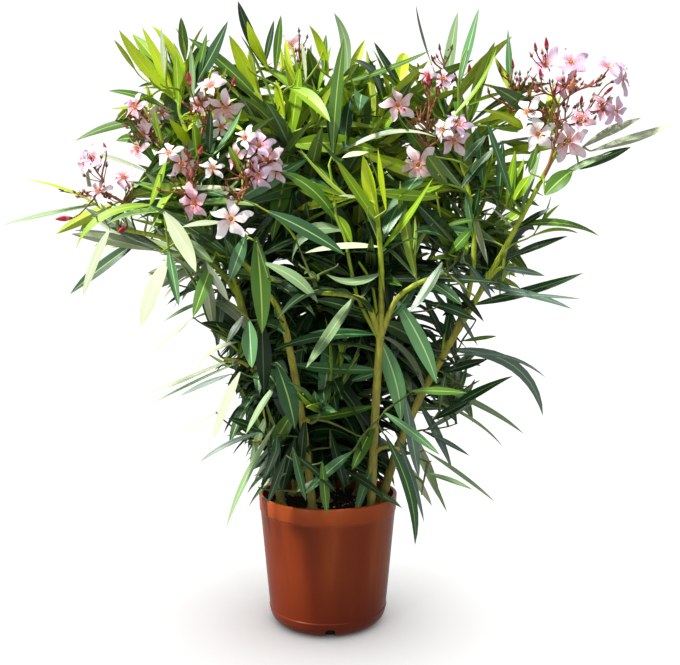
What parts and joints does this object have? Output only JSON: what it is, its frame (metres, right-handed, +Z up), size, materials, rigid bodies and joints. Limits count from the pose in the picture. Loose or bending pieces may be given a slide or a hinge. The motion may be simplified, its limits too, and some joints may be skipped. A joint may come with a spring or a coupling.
{
  "type": "potted oleander shrub",
  "caption": "Flowering oleander shrub in a round plastic nursery pot: stems that fork into boughs, masses of narrow leaves and loose heads of pink flowers.",
  "frame": {"origin": "middle of the pot's flat underside, on the surface that the pot stands on", "axes": "+Z up; -Y towards the side that the plant is usually seen from; +X to the right from there"},
  "size_m": [1.117, 0.82, 1.06],
  "materials": {
    "pot_plastic": "gloss",
    "soil": "matte",
    "bark": "satin",
    "foliage": "satin"
  },
  "bodies": {
    "root": {"bough_back": "bark", "bough_back_left": "bark", "bough_back_low_left": "bark", "bough_back_low_right": "bark", "bough_back_right": "bark", "bough_back_top": "bark", "bough_far_left": "bark", "bough_front_low": "bark", "bough_front_middle": "bark", "bough_front_right": "bark", "bough_front_top": "bark", "bough_left": "bark", "bough_left_low": "bark", "bough_left_skirt": "bark", "bough_middle": "bark", "bough_right": "bark", "bough_right_flowers": "bark", "bough_right_low": "bark", "bough_right_skirt": "bark", "bough_top_left": "bark", "bough_top_middle": "bark", "bough_top_right": "bark", "bough_top_right_middle": "bark", "mass_back": "foliage", "mass_back_left": "foliage", "mass_back_low_left": "foliage", "mass_back_low_right": "foliage", "mass_back_right": "foliage", "mass_back_top": "foliage", "mass_far_left": "foliage", "mass_front_low": "foliage", "mass_front_middle": "foliage", "mass_front_right": "foliage", "mass_front_top": "foliage", "mass_left": "foliage", "mass_left_low": "foliage", "mass_left_skirt": "foliage", "mass_middle": "foliage", "mass_right": "foliage", "mass_right_flowers": "foliage", "mass_right_low": "foliage", "mass_right_skirt": "foliage", "mass_top_left": "foliage", "mass_top_middle": "foliage", "mass_top_right": "foliage", "mass_top_right_middle": "foliage", "pot": "pot_plastic", "soil": "soil", "stem_back": "bark", "stem_back_left": "bark", "stem_back_right": "bark", "stem_front": "bark", "stem_front_left": "bark", "stem_left": "bark", "stem_middle": "bark", "stem_right": "bark"}
  },
  "joints": []
}
